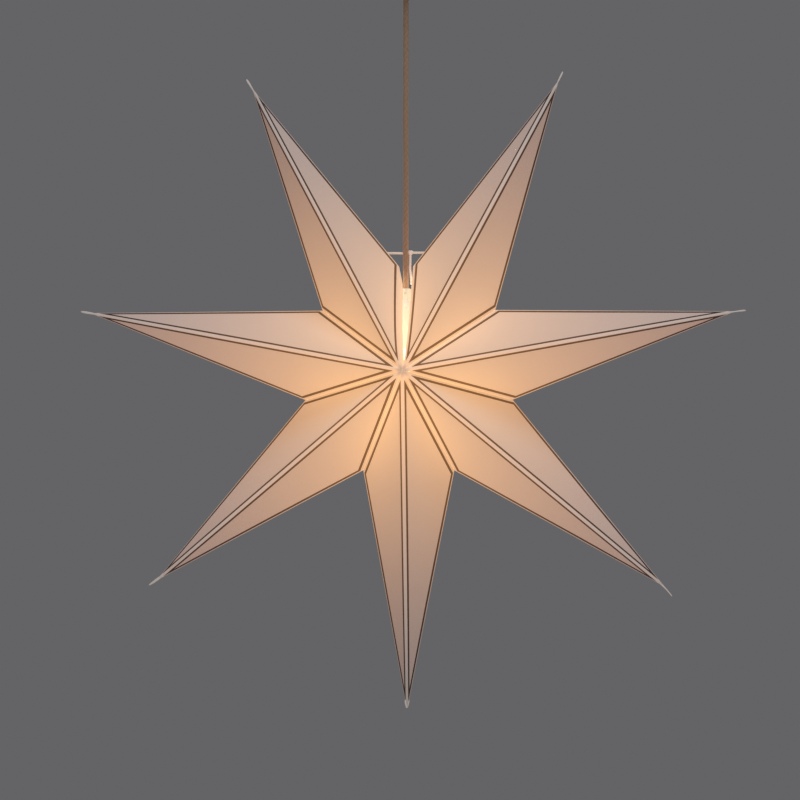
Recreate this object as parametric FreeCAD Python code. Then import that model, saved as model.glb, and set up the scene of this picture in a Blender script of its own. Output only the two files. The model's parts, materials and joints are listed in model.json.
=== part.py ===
import FreeCAD, Part
import math
import os

# Seven-pointed folded-paper star lantern that hangs on a textile cord from a ceiling cup.
# Frame: origin on the ceiling, on the cord's axis. +Z points up into the ceiling and -Y is the star's front.
# Heights marked "above the centre" are measured from the star's centre. All lengths are millimetres.

# --- star -------------------------------------------------------------------------------------
tip_radius = 350.0        # star's centre to the end of an arm
valley_radius = 111.8     # star's centre to the outline's inner corners
half_depth = 95.0         # star's centre to its front apex
arm_pitch = 50.4          # degrees from one arm to the next; the rest of the circle is the open seam
paper = 0.4               # glued double paper
glue_gap = 0.1            # between two neighbouring arms
flap_width = 6.0          # glue flap folded in along each open edge of an arm
star_shift = 3.0          # the star's centre stands this far to the right of the cord
centre_height = -470.0    # star's centre below the ceiling

# arm: (steps from straight down, lean of its tip in degrees)
arms = {
    "arm_bottom": (0, 0.0),
    "arm_lower_right": (1, 0.0),
    "arm_lower_left": (-1, 0.0),
    "arm_right": (2, 0.0),
    "arm_left": (-2, 0.0),
    "arm_upper_right": (3, 1.6),
    "arm_upper_left": (-3, 0.0),
}

# --- tie string -------------------------------------------------------------------------------
string_radius = 0.9
string_hole_radius = 1.2
left_string_height = 125.5     # above the centre
right_string_height = 127.0
string_knot_radius = 2.2
knot_depth = 8.0               # end knot's centre, inwards from its arm's crease
loop_radius = 4.1              # loop of string round the back of the cord
free_end_length = 34.0
free_end_shift = 0.8           # free end's top, from under the knot's middle towards the cord
free_end_lean = 1.0            # free end's foot, away from the cord

# --- cord and ceiling fitting -----------------------------------------------------------------
cord_radius = 3.0
cord_clearance = 0.06          # between the cord and a bore that grips it
core_radius = 1.0
cup_radius = 45.0
cup_height = 42.0
cup_wall = 1.2
cup_corner = 12.0
bracket_length = 84.0
bracket_width = 22.0
bracket_thickness = 1.5
bracket_tab = 14.0
slot_spacing = 52.0
slot_width = 4.5
slot_length = 12.0
cup_screw_radius = 1.5
cup_screw_height = -9.0
gland_radius = 7.0
gland_length = 16.0
gland_thread_radius = 5.0
gland_thread_length = 12.0
gland_nut_flats = 14.0
gland_nut_height = 3.0

# --- lampholder, heights above the centre -----------------------------------------------------
holder_radius = 14.0
holder_wall = 1.6
neck_radius = 5.25
neck_top = 88.0
neck_bottom = 76.0
holder_joint = 54.0            # where the cap meets the skirt
skirt_bottom = 25.0
insert_top = 60.0
insert_bottom = 51.5
cord_end = 73.0                # where the cord's sheath stops inside the cap
shell_inner_radius = 7.05
shell_wall = 0.35
shell_bottom = 30.0
terminal_spacing = 13.0

# --- bulb, E14 cap, heights above the centre --------------------------------------------------
cap_radius = 6.95
cap_wall = 0.3
cap_top = 45.5
cap_bottom = 29.0
globe_radius = 22.5
globe_height = -8.5
glass_wall = 0.8
filament_count = 4
filament_radius = 0.8
filament_circle = 6.5

os.makedirs("parts", exist_ok=True)
half_angle = math.radians(arm_pitch / 2)
star_centre = FreeCAD.Vector(star_shift, 0, centre_height)
cord_axis = FreeCAD.Vector(0, 0, centre_height)
Y_AXIS = FreeCAD.Vector(0, 1, 0)
Z_AXIS = FreeCAD.Vector(0, 0, 1)


def save(name, shape, at=None):
    """Write one sub-part, moved to its place, to its own file."""
    if at is not None:
        shape = shape.translated(at)
    solids = shape.Solids
    body = solids[0] if len(solids) == 1 else Part.makeCompound(solids)
    body.exportStep("parts/%s.step" % name)
    print("%-24s %2d solid(s) %10.1f mm3 valid %s" % (name, len(solids), body.Volume, body.isValid()))


def point(x, y, z):
    return FreeCAD.Vector(x, y, z)


def rod(start, end, radius):
    """Round bar from one point to another."""
    run = end - start
    return Part.makeCylinder(radius, run.Length, start, run)


def turned(profile):
    """Solid of revolution about Z. The profile is (radius, height) corners; a corner given as
    (radius, height, via_radius, via_height) is reached along an arc through the second pair."""
    edges = []
    last = profile[-1]
    for corner in profile:
        start = point(last[0], 0, last[1])
        end = point(corner[0], 0, corner[1])
        if len(corner) == 4:
            edges.append(Part.Arc(start, point(corner[2], 0, corner[3]), end).toShape())
        elif (start - end).Length > 1e-6:
            edges.append(Part.makeLine(start, end))
        last = corner
    return Part.Face(Part.Wire(edges)).revolve(point(0, 0, 0), Z_AXIS, 360)


def ring(outer, inner, low, high):
    """Round tube between two heights."""
    return turned([(inner, low), (outer, low), (outer, high), (inner, high)])


# --- paper arms -------------------------------------------------------------------------------
def polyhedron(corners, faces):
    shells = []
    for face in faces:
        loop = [corners[name] for name in face]
        shells.append(Part.Face(Part.makePolygon(loop + loop[:1])))
    return Part.Solid(Part.Shell(shells))


def before(plane_point, inward, depth):
    """Large block that holds everything up to a depth inside a plane."""
    size = 3 * tip_radius
    block = Part.makeBox(2 * size, 2 * size, size, point(-size, -size, -size))
    turn = FreeCAD.Rotation(Z_AXIS, inward)
    block.Placement = FreeCAD.Placement(plane_point + inward * depth, turn)
    return block


def inward_normal(a, b, c):
    """Unit normal of the plane through three corners, pointing into the arm."""
    normal = (b - a).cross(c - a).normalize()
    middle = point(0, 0, -valley_radius / 2)
    return normal if normal.dot(middle - a) > 0 else normal * -1


def valley_corner(side):
    return point(side * valley_radius * math.sin(half_angle), 0, -valley_radius * math.cos(half_angle))


def flap_window(base_in, valley):
    """The opening that the glue flaps leave free in one of an arm's two base faces."""
    edge = math.hypot(valley_radius, half_depth)
    window_y = half_depth - flap_width * edge / valley_radius
    window_r = valley_radius - flap_width * edge / half_depth
    past_axis = 2.0
    along = valley.normalize()
    loop = [point(0, -window_y, 0), along * window_r, point(0, window_y, 0),
            point(0, window_y, 0) - along * past_axis, point(0, -window_y, 0) - along * past_axis]
    loop = [corner - base_in * past_axis for corner in loop]
    return Part.Face(Part.makePolygon(loop + loop[:1])).extrude(base_in * (past_axis + 3 * paper))


def arm_panels(lean):
    """One arm pointing straight down: a hollow folded pyramid that is open towards the star's
    centre. It is made of four facets, mitred along the ridges and the outline creases, and of the
    four narrow glue flaps turned in along its open edges."""
    tilt = math.radians(lean)
    front = point(0, -half_depth, 0)
    back = point(0, half_depth, 0)
    tip = point(tip_radius * math.sin(tilt), 0, -tip_radius * math.cos(tilt))
    corners = {"front": front, "back": back, "tip": tip, "right": valley_corner(1), "left": valley_corner(-1)}
    pyramid = polyhedron(corners, [("front", "tip", "right"), ("front", "tip", "left"),
                                   ("back", "tip", "right"), ("back", "tip", "left"),
                                   ("front", "back", "right"), ("front", "back", "left")])
    flap_depth = glue_gap / 2 + paper
    panels = []
    for side in (-1, 1):
        base_in = inward_normal(front, back, valley_corner(side))
        outer = pyramid.cut(before(front, base_in, glue_gap / 2))
        window = flap_window(base_in, valley_corner(side))
        for end, apex in ((-1, front), (1, back)):
            facet_in = inward_normal(apex, tip, valley_corner(side))
            other_in = inward_normal(apex, tip, valley_corner(-side))
            own_side = (other_in - facet_in).normalize()
            quarter = outer.cut(before(apex, own_side, 0)).cut(before(point(0, 0, 0), Y_AXIS * end, 0))
            base_layer = before(front, base_in, flap_depth)
            panels.append(quarter.cut(base_layer).common(before(apex, facet_in, paper)))
            panels.append(quarter.common(base_layer).cut(window))
    return panels


def crease_at(side, height):
    """Point on an upper arm's seam-side outline crease at a height above the star's centre."""
    steps, lean = arms["arm_upper_right" if side > 0 else "arm_upper_left"]
    valley = math.radians(side * (abs(steps) + 0.5) * arm_pitch)
    tip = math.radians(steps * arm_pitch + lean)
    start = point(valley_radius * math.sin(valley), 0, -valley_radius * math.cos(valley))
    end = point(tip_radius * math.sin(tip), 0, -tip_radius * math.cos(tip))
    return start + (end - start) * ((height - start.z) / (end.z - start.z))


def make_arms():
    for name, (steps, lean) in arms.items():
        panels = Part.makeCompound(arm_panels(lean))
        panels.rotate(point(0, 0, 0), Y_AXIS, -steps * arm_pitch)
        if abs(steps) == 3:
            side = 1 if steps > 0 else -1
            height = right_string_height if side > 0 else left_string_height
            crease = crease_at(side, height)
            reach = point(side * 6.0, 0, 0)
            panels = panels.cut(rod(crease - reach, crease + reach, string_hole_radius))
        save(name, panels, star_centre)


# --- tie string -------------------------------------------------------------------------------
def make_tie():
    """A string in two lengths, knotted inside the two upper arms. The right one loops round the
    back of the cord to meet the left one, is knotted beside it and leaves one free end hanging."""
    starts = {-1: -(loop_radius + string_radius + 0.05), 1: loop_radius - string_radius}
    strings = {}
    for side, height in ((-1, left_string_height), (1, right_string_height)):
        stop = crease_at(side, height) + point(star_shift + side * knot_depth, 0, 0)
        string = rod(point(starts[side], 0, height), stop, string_radius)
        strings[side] = string.fuse(Part.makeSphere(string_knot_radius, stop))
    save("tie_string_left", strings[-1], cord_axis)

    loop_centre = point(0, 0, right_string_height)
    loop = Part.makeTorus(loop_radius, string_radius, loop_centre, Z_AXIS, 0, 360, 180)
    knot_centre = point(loop_radius + 1.6, 0, right_string_height)
    knot = Part.makeSphere(string_knot_radius, knot_centre)
    save("tie_string_right", strings[1].multiFuse([loop, knot]), cord_axis)
    top = knot_centre - point(free_end_shift, 0, string_knot_radius + 0.05)
    free_end = rod(top, top + point(free_end_lean, 0, -free_end_length), string_radius)
    save("tie_free_end", free_end, cord_axis)


# --- ceiling fitting --------------------------------------------------------------------------
def make_ceiling_fitting():
    inner = cup_radius - cup_wall
    low = -cup_height
    bend = cup_corner * (1 - math.sqrt(0.5))
    in_corner = cup_corner - cup_wall
    in_bend = in_corner * (1 - math.sqrt(0.5))
    cup = turned([
        (gland_thread_radius + 0.1, low), (cup_radius - cup_corner, low),
        (cup_radius, low + cup_corner, cup_radius - bend, low + bend),
        (cup_radius, 0), (inner, 0), (inner, low + cup_corner),
        (cup_radius - cup_corner, low + cup_wall, inner - in_bend, low + cup_wall + in_bend),
        (gland_thread_radius + 0.1, low + cup_wall),
    ])
    cross_hole = rod(point(-60, 0, cup_screw_height), point(60, 0, cup_screw_height), cup_screw_radius + 0.1)
    save("ceiling_cup", cup.cut(cross_hole))

    half = bracket_length / 2
    strap = Part.makeBox(bracket_length, bracket_width, bracket_thickness,
                         point(-half, -bracket_width / 2, -bracket_thickness))
    for side in (-1, 1):
        low_x = half - bracket_thickness if side > 0 else -half
        tab = Part.makeBox(bracket_thickness, bracket_width, bracket_tab,
                           point(low_x, -bracket_width / 2, -bracket_tab))
        strap = strap.fuse(tab)
    strap = strap.cut(rod(point(-60, 0, cup_screw_height), point(60, 0, cup_screw_height),
                          cup_screw_radius + 0.03))
    straight = slot_length - slot_width
    for side in (-1, 1):
        x = side * slot_spacing / 2
        slot = Part.makeBox(straight, slot_width, 4, point(x - straight / 2, -slot_width / 2, -3))
        for end in (-1, 1):
            slot = slot.fuse(Part.makeCylinder(slot_width / 2, 4, point(x + end * straight / 2, 0, -3)))
        strap = strap.cut(slot)
    lead_hole = Part.makeCylinder(5, 4, point(0, 0, -3))
    save("ceiling_bracket", strap.cut(lead_hole).removeSplitter())

    screws = []
    for side in (-1, 1):
        stem = rod(point(side * (half - 3.5), 0, cup_screw_height),
                   point(side * (cup_radius + 0.1), 0, cup_screw_height), cup_screw_radius)
        head = Part.makeSphere(3.4, point(side * (cup_radius - 1.0), 0, cup_screw_height))
        outside = Part.makeBox(6, 12, 12, point(cup_radius + 0.02, -6, cup_screw_height - 6))
        if side < 0:
            outside.translate(point(-2 * cup_radius - 0.04 - 6, 0, 0))
        slot = Part.makeBox(1.0, 0.8, 12, point(0, -0.4, cup_screw_height - 6))
        slot.translate(point(side * (cup_radius + 2.1) - 0.5, 0, 0))
        screws.append(stem.fuse(head.common(outside)).cut(slot))
    save("cup_screws", Part.makeCompound(screws))

    bore = cord_radius + cord_clearance
    mouth = low - gland_length
    gland = turned([
        (bore, mouth + 1.5), (bore + 1.5, mouth, bore + 0.44, mouth + 0.44),
        (gland_radius - 1, mouth), (gland_radius, mouth + 1),
        (gland_radius, low), (gland_thread_radius, low),
        (gland_thread_radius, low + gland_thread_length), (bore, low + gland_thread_length),
    ])
    grub_height = low - gland_length * 0.45
    grub_hole = rod(point(0, 0, grub_height), point(0, -gland_radius - 1, grub_height), 1.55)
    save("cord_gland", gland.cut(grub_hole))
    grub = rod(point(0, -cord_radius - 0.1, grub_height), point(0, -gland_radius + 0.3, grub_height), 1.5)
    driver_slot = Part.makeBox(4, 0.9, 0.5, point(-2, -gland_radius - 0.1, grub_height - 0.25))
    save("gland_grub_screw", grub.cut(driver_slot))

    corner = gland_nut_flats / math.sqrt(3)
    hexagon = [point(corner * math.cos(math.radians(60 * i)), corner * math.sin(math.radians(60 * i)), 0)
               for i in range(7)]
    nut = Part.Face(Part.makePolygon(hexagon)).extrude(Z_AXIS * gland_nut_height)
    nut = nut.cut(Part.makeCylinder(gland_thread_radius + 0.03, 10, point(0, 0, -1)))
    save("gland_nut", nut, point(0, 0, low + cup_wall + 0.02))


# --- terminals inside the ceiling cup ---------------------------------------------------------
def make_ceiling_terminals():
    block_x, block_y, block_z = 19.0, 11.0, 15.0
    barrel_x = 4.6
    centre = point(0, 20, -18)
    corner = centre - point(block_x / 2, block_y / 2, block_z / 2)
    block = Part.makeBox(block_x, block_y, block_z, corner)
    waist = Part.makeBox(1.2, 3.0, block_z + 2, point(-0.6, centre.y - block_y / 2 - 0.1, corner.z - 1))
    block = block.cut(waist)
    barrels = []
    screws = []
    for side in (-1, 1):
        x = side * barrel_x
        low = point(x, centre.y, corner.z + 1)
        block = block.cut(rod(low - point(0, 0, 3), low + point(0, 0, block_z + 3), 2.4))
        barrel = rod(low, low + point(0, 0, block_z - 2), 2.3).cut(
            rod(low - point(0, 0, 1), low + point(0, 0, block_z), 1.5))
        for z in (centre.z - 4, centre.z + 4):
            inner_end = point(x, centre.y - 1.2, z)
            outer_end = point(x, centre.y - block_y / 2 + 1.2, z)
            hole_end = point(x, centre.y - block_y / 2 - 1, z)
            block = block.cut(rod(point(x, centre.y, z), hole_end, 1.5))
            barrel = barrel.cut(rod(point(x, centre.y, z), hole_end, 1.35))
            screws.append(rod(inner_end, outer_end, 1.3))
        barrels.append(barrel)
    save("terminal_block", block)
    save("terminal_barrels", Part.makeCompound(barrels))
    save("terminal_screws", Part.makeCompound(screws))

    # the cord's sheath runs up through the gland, then its two cores cross to the barrels
    sheath_top = -cup_height + gland_thread_length + 2
    mouth = -cup_height - gland_length
    save("cord_tail", rod(point(0, 0, mouth), point(0, 0, sheath_top), cord_radius))
    for name, side in (("ceiling_core_brown", -1), ("ceiling_core_blue", 1)):
        barrel = point(side * barrel_x, centre.y, corner.z + 5)
        route = [point(side * 1.2, 0, sheath_top), point(side * 1.2, 0, sheath_top + 2),
                 point(side * 1.6, 1.5, sheath_top + 5), point(side * barrel_x, centre.y - 4.0, corner.z - 6.5),
                 point(side * barrel_x, centre.y, corner.z - 3), barrel]
        save(name, core(route))


def core(route):
    """Insulated wire along straight runs, with a ball at each turn."""
    solid = rod(route[0], route[1], core_radius)
    for start, end in zip(route[1:], route[2:]):
        solid = solid.fuse(Part.makeSphere(core_radius, start)).fuse(rod(start, end, core_radius))
    return solid


# --- cord -------------------------------------------------------------------------------------
def make_cord():
    """The cord's hanging length. It bends where it leaves the gland, so its top is a ball there."""
    pivot = -cup_height - gland_length - cord_radius - 0.1
    top = point(0, 0, pivot)
    bottom = point(0, 0, centre_height + cord_end)
    straight = rod(bottom, top, cord_radius)
    save("textile_cord", straight.fuse(Part.makeSphere(cord_radius, top)))
    print("cord pivot %.1f, hanging length %.1f mm" % (pivot, (top - bottom).Length + cord_radius))


# --- lampholder -------------------------------------------------------------------------------
def make_lampholder():
    bore = cord_radius + cord_clearance
    inside = holder_radius - holder_wall
    shoulder = 66.0
    cap = turned([
        (bore, neck_top), (neck_radius - 0.8, neck_top), (neck_radius, neck_top - 0.8),
        (neck_radius, neck_bottom),
        (holder_radius, shoulder, holder_radius - 2.9, neck_bottom - 3.0),
        (holder_radius, holder_joint), (inside, holder_joint),
        (inside, shoulder - 0.6),
        (bore + 2.4, neck_bottom - 2.4, inside - 2.7, shoulder + 4.2),
        (bore, neck_bottom - 2.4),
    ])
    grip_height = neck_top - 5.0
    grip_hole = rod(point(0, 0, grip_height), point(0, -neck_radius - 2, grip_height), 1.25)
    save("lampholder_cap", cap.cut(grip_hole), cord_axis)
    grip = rod(point(0, -cord_radius - 0.1, grip_height), point(0, -neck_radius + 0.2, grip_height), 1.2)
    save("cord_grip_screw", grip, cord_axis)

    skirt = turned([
        (inside, holder_joint - 0.02), (inside, skirt_bottom + 1), (inside + 0.6, skirt_bottom),
        (holder_radius - 0.5, skirt_bottom), (holder_radius, skirt_bottom + 0.5),
        (holder_radius, holder_joint - 0.02),
    ])
    save("lampholder_skirt", skirt, cord_axis)

    insert = Part.makeCylinder(inside - 0.05, insert_top - insert_bottom, point(0, 0, insert_bottom))
    shell_outer = shell_inner_radius + shell_wall
    seat = ring(shell_outer + 0.03, shell_inner_radius - 0.03, insert_bottom - 1, insert_bottom + 3)
    insert = insert.cut(seat)
    contact_slot = Part.makeBox(4.3, 4.3, 30, point(-2.15, -2.15, 40))
    insert = insert.cut(contact_slot)
    screws = []
    for side in (-1, 1):
        x = side * terminal_spacing / 2
        hole = rod(point(x, -5, insert_bottom + 5), point(x, -5, insert_top + 1), 1.35)
        insert = insert.cut(hole)
        stem = rod(point(x, -5, insert_bottom + 5.2), point(x, -5, insert_top + 0.05), 1.3)
        head = rod(point(x, -5, insert_top + 0.05), point(x, -5, insert_top + 1.6), 2.1)
        slot = Part.makeBox(5, 0.6, 0.8, point(x - 2.5, -5.3, insert_top + 1.0))
        screws.append(stem.fuse(head).cut(slot))
    save("lampholder_insert", insert, cord_axis)
    save("holder_terminal_screws", Part.makeCompound(screws), cord_axis)

    shell = ring(shell_outer, shell_inner_radius, shell_bottom, insert_bottom + 2.9)
    save("screw_shell", shell, cord_axis)

    # centre contact: a sprung strip folded down through the insert's middle
    strip = [(-1.9, 61.2), (1.9, 61.2), (1.9, 50.0), (1.4, 49.6), (-1.6, 49.6), (-1.6, 50.1),
             (1.3, 50.1), (1.3, 60.7), (-1.9, 60.7)]
    loop = [point(x, -1.8, z) for x, z in strip]
    contact = Part.Face(Part.makePolygon(loop + loop[:1])).extrude(Y_AXIS * 3.6)
    save("centre_contact", contact, cord_axis)

    for name, side in (("holder_core_brown", -1), ("holder_core_blue", 1)):
        route = [point(side * 1.2, 0, cord_end), point(side * 1.2, 0, cord_end - 2),
                 point(side * 3.0, -1.0, cord_end - 5), point(side * 5.2, -1.2, insert_top + 2.2)]
        save(name, core(route), cord_axis)


# --- bulb -------------------------------------------------------------------------------------
def make_bulb():
    contact = turned([(0, 48.4), (2.4, 48.4), (2.4, 48.9), (1.5, 49.4), (0, 49.4)])
    save("bulb_base_contact", contact, cord_axis)
    insulator = turned([(0, 43.5), (cap_radius - cap_wall - 0.05, 43.5),
                        (cap_radius - cap_wall - 0.05, cap_top), (5.4, cap_top + 0.5),
                        (2.6, 48.35), (0, 48.35)])
    save("bulb_cap_insulator", insulator, cord_axis)
    save("bulb_screw_cap", ring(cap_radius, cap_radius - cap_wall, cap_bottom, cap_top), cord_axis)

    neck = cap_radius - cap_wall - 0.1
    start = math.radians(40)
    join = (globe_radius * math.sin(start), globe_height + globe_radius * math.cos(start))
    inner = globe_radius - glass_wall
    join_in = (inner * math.sin(start), globe_height + inner * math.cos(start))
    glass = turned([
        (neck, 41), (neck, cap_bottom - 0.5), (join[0], join[1], 9.0, 18.0),
        (0, globe_height - globe_radius, globe_radius * math.sin(math.radians(110)),
         globe_height + globe_radius * math.cos(math.radians(110))),
        (0, globe_height - inner),
        (join_in[0], join_in[1], inner * math.sin(math.radians(110)),
         globe_height + inner * math.cos(math.radians(110))),
        (neck - glass_wall, cap_bottom - 0.8, 9.0 - glass_wall, 18.3),
        (neck - glass_wall, 41),
    ])
    save("bulb_glass", glass, cord_axis)

    stem = turned([(0, 9), (1.6, 10), (2.0, 22), (neck - glass_wall - 0.1, 33),
                   (neck - glass_wall - 0.1, 34), (0, 34)])
    save("bulb_stem", stem, cord_axis)

    low, high = -20.0, 7.0
    sticks = []
    supports = []
    for i in range(filament_count):
        angle = 2 * math.pi * (i + 0.5) / filament_count
        out = point(math.cos(angle), math.sin(angle), 0)
        top = out * (filament_circle - 2.2) + point(0, 0, high)
        bottom = out * filament_circle + point(0, 0, low)
        sticks.append(rod(bottom, top, filament_radius))
        supports.append(rod(point(0, 0, low - 1.5), bottom - point(0, 0, 0.3), 0.25))
    save("bulb_filaments", Part.makeCompound(sticks), cord_axis)
    wires = supports[0].multiFuse(supports[1:] + [rod(point(0, 0, low - 1.6), point(0, 0, 8.9), 0.4)])
    save("bulb_support_wires", wires, cord_axis)


make_ceiling_fitting()
make_ceiling_terminals()
make_cord()
make_lampholder()
make_bulb()
make_arms()
make_tie()
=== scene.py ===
import json
import math

import bpy
import numpy as np
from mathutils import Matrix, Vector


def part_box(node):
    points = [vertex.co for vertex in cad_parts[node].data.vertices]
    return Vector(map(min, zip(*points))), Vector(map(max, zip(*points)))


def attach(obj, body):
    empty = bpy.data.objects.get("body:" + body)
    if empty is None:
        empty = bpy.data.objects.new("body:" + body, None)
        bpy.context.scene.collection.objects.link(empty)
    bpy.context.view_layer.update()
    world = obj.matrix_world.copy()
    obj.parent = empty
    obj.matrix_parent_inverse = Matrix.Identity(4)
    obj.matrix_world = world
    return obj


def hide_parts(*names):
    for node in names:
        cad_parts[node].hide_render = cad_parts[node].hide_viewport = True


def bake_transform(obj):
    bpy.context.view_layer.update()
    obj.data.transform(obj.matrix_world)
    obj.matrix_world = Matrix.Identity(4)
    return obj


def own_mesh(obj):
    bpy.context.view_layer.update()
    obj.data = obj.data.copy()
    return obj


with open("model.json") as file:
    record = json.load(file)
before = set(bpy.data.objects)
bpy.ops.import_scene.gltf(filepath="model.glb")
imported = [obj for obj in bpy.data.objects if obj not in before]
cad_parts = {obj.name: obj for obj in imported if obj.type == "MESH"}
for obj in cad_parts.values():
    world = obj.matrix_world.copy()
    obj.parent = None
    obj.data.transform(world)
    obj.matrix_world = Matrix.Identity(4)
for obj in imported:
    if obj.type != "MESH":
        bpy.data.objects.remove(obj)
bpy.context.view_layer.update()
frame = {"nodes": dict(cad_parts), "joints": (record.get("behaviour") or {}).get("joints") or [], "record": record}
nodes = frame["nodes"]
starCentre = np.array([j["pos_m"] for j in frame["joints"] if j["name"] == "fan_fold"][0], float)
mm = 0.001
print("frame loaded with", len(nodes), "nodes")


# camera: in front, a little to the right and below, on a long lens
camera = dict(lens=108.3, sensor=36.0, distance=2.5, azimuth=4.05, elevation=-1.75,
              aimRight=-9.1 * mm, aimUp=-27.8 * mm, clipEnd=50)


def makeCamera(c):
    az = math.radians(c["azimuth"])
    el = math.radians(c["elevation"])
    back = Vector((math.sin(az) * math.cos(el), -math.cos(az) * math.cos(el), math.sin(el)))
    right = (-back).cross(Vector((0, 0, 1))).normalized()
    up = right.cross(-back)
    data = bpy.data.cameras.new("camera")
    data.lens = c["lens"]
    data.sensor_width = c["sensor"]
    data.clip_end = c["clipEnd"]
    cam = bpy.data.objects.new("camera", data)
    bpy.context.scene.collection.objects.link(cam)
    place = Vector(starCentre) + back * c["distance"]
    aim = Vector(starCentre) + right * c["aimRight"] + up * c["aimUp"]
    cam.location = place
    cam.rotation_mode = "QUATERNION"
    cam.rotation_quaternion = (aim - place).to_track_quat("-Z", "Y")
    bpy.context.scene.camera = cam


makeCamera(camera)


# small helpers for meshes
def unit(v):
    v = np.asarray(v, float)
    return v / np.linalg.norm(v, axis=-1, keepdims=True)


# Quads of a rows x cols grid whose columns wrap round.
def gridFaces(rows, cols):
    r = np.arange(rows - 1)[:, None]
    c = np.arange(cols)[None, :]
    n = (c + 1) % cols
    quads = np.stack([r * cols + c, r * cols + n, (r + 1) * cols + n, (r + 1) * cols + c], -1)
    return quads.reshape(-1, 4)


# Object from arrays: points (n, 3), a list of faces, one material index per face and point attributes.
def meshFrom(name, points, faces, materials, slotOfFace=None, attributes=None):
    mesh = bpy.data.meshes.new(name)
    mesh.from_pydata(points.reshape(-1, 3).tolist(), [], [list(f) for f in faces])
    for m in materials:
        mesh.materials.append(m)
    if slotOfFace is not None:
        mesh.polygons.foreach_set("material_index", np.asarray(slotOfFace, np.int32))
    mesh.polygons.foreach_set("use_smooth", np.full(len(mesh.polygons), True))
    for key, values in (attributes or {}).items():
        values = np.asarray(values, np.float32)
        kind = "FLOAT" if values.ndim == 1 else "FLOAT_VECTOR"
        layer = mesh.attributes.new(key, kind, "POINT")
        layer.data.foreach_set("value" if kind == "FLOAT" else "vector", values.ravel())
    mesh.update()
    obj = bpy.data.objects.new(name, mesh)
    bpy.context.scene.collection.objects.link(obj)
    return obj


# Points and faces of a tube through rings (n, m, 3), with both ends closed by a fan.
def closedTube(rings):
    n, m, _ = rings.shape
    points = np.concatenate([rings.reshape(-1, 3), rings[:1].mean(1), rings[-1:].mean(1)])
    faces = [tuple(q) for q in gridFaces(n, m)]
    i = np.arange(m)
    faces += list(zip((i + 1) % m, i, np.full(m, n * m)))
    last = (n - 1) * m
    faces += list(zip(last + i, last + (i + 1) % m, np.full(m, n * m + 1)))
    return points, faces


# Two cross directions along a path, turned as little as possible from point to point.
def pathSides(path):
    tangent = unit(np.gradient(path, axis=0))
    side = np.empty_like(path)
    first = np.cross(tangent[0], (0, 1, 0) if abs(tangent[0][1]) < 0.9 else (1, 0, 0))
    side[0] = unit(first)
    for i in range(1, len(path)):
        s = side[i - 1] - tangent[i] * (side[i - 1] @ tangent[i])
        side[i] = unit(s)
    return side, np.cross(tangent, side)


# Circle of unit vectors round each point of a path: cos of the angle along one side, sin along the other.
def circlesAlong(path, angles):
    side, other = pathSides(path)
    return side[:, None] * np.cos(angles)[None, :, None] + other[:, None] * np.sin(angles)[None, :, None]


# Smooth line of a NURBS curve whose control points are the route's points.
def lineOfNurbs(points):
    curve = bpy.data.curves.new("route", "CURVE")
    curve.dimensions = "3D"
    spline = curve.splines.new("NURBS")
    spline.points.add(len(points) - 1)
    for p, co in zip(spline.points, points):
        p.co = (*co, 1)
    spline.order_u = 3
    spline.use_endpoint_u = True
    spline.resolution_u = 24
    obj = bpy.data.objects.new("route", curve)
    bpy.context.scene.collection.objects.link(obj)
    mesh = bpy.data.meshes.new_from_object(obj)
    line = np.array([v.co for v in mesh.vertices], float)
    bpy.data.objects.remove(obj)
    bpy.data.curves.remove(curve)
    bpy.data.meshes.remove(mesh)
    return line


# The same line with points a step apart, and each point's distance along it.
def evenly(line, step):
    along = np.concatenate([[0], np.cumsum(np.linalg.norm(np.diff(line, axis=0), axis=1))])
    s = np.linspace(0, along[-1], max(4, int(round(along[-1] / step)) + 1))
    return np.stack([np.interp(s, along, line[:, i]) for i in range(3)], 1), s


# shader helpers
# Short way to add and link the nodes of one tree.
class Nodes:

    def __init__(self, tree):
        self.tree = tree

    def add(self, kind, inputs=(), **settings):
        node = self.tree.nodes.new(kind)
        for key, value in settings.items():
            setattr(node, key, value)
        for key, value in dict(inputs).items():
            self.put(value, node.inputs[key])
        return node

    def put(self, value, socket):
        if isinstance(value, bpy.types.NodeSocket):
            self.tree.links.new(value, socket)
        else:
            socket.default_value = value

    def math(self, operation, a, b=0.0, c=0.0, clamp=False):
        node = self.add("ShaderNodeMath", {0: a, 1: b, 2: c}, operation=operation)
        node.use_clamp = clamp
        return node.outputs[0]

    def vector(self, operation, a, b=(0, 0, 0)):
        node = self.add("ShaderNodeVectorMath", {0: a, 1: b}, operation=operation)
        return node.outputs["Value" if operation == "LENGTH" else "Vector"]

    def scaled(self, vector, factor):
        node = self.add("ShaderNodeVectorMath", {0: vector, "Scale": factor}, operation="SCALE")
        return node.outputs["Vector"]

    def range(self, value, low, high, toLow, toHigh, kind="SMOOTHSTEP"):
        node = self.add("ShaderNodeMapRange", {"Value": value, "From Min": low, "From Max": high,
                                               "To Min": toLow, "To Max": toHigh}, interpolation_type=kind)
        return node.outputs["Result"]

    def mix(self, share, a, b):
        node = self.add("ShaderNodeMix", data_type="RGBA")
        self.put(share, node.inputs[0])
        self.put(a, node.inputs[6])
        self.put(b, node.inputs[7])
        return node.outputs[2]

    def noise(self, place, scale, detail=3.0, rough=0.5):
        node = self.add("ShaderNodeTexNoise",
                        {"Vector": place, "Scale": scale, "Detail": detail, "Roughness": rough})
        return node.outputs["Fac"]

    def place(self):
        return self.add("ShaderNodeTexCoord").outputs["Object"]

    def attribute(self, name, output):
        return self.add("ShaderNodeAttribute", attribute_name=name).outputs[output]

    # a shared group with this material's own values for its inputs
    def group(self, tree, values):
        node = self.add("ShaderNodeGroup", node_tree=tree)
        for key, value in values.items():
            node.inputs[key].default_value = value
        return node.outputs


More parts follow.
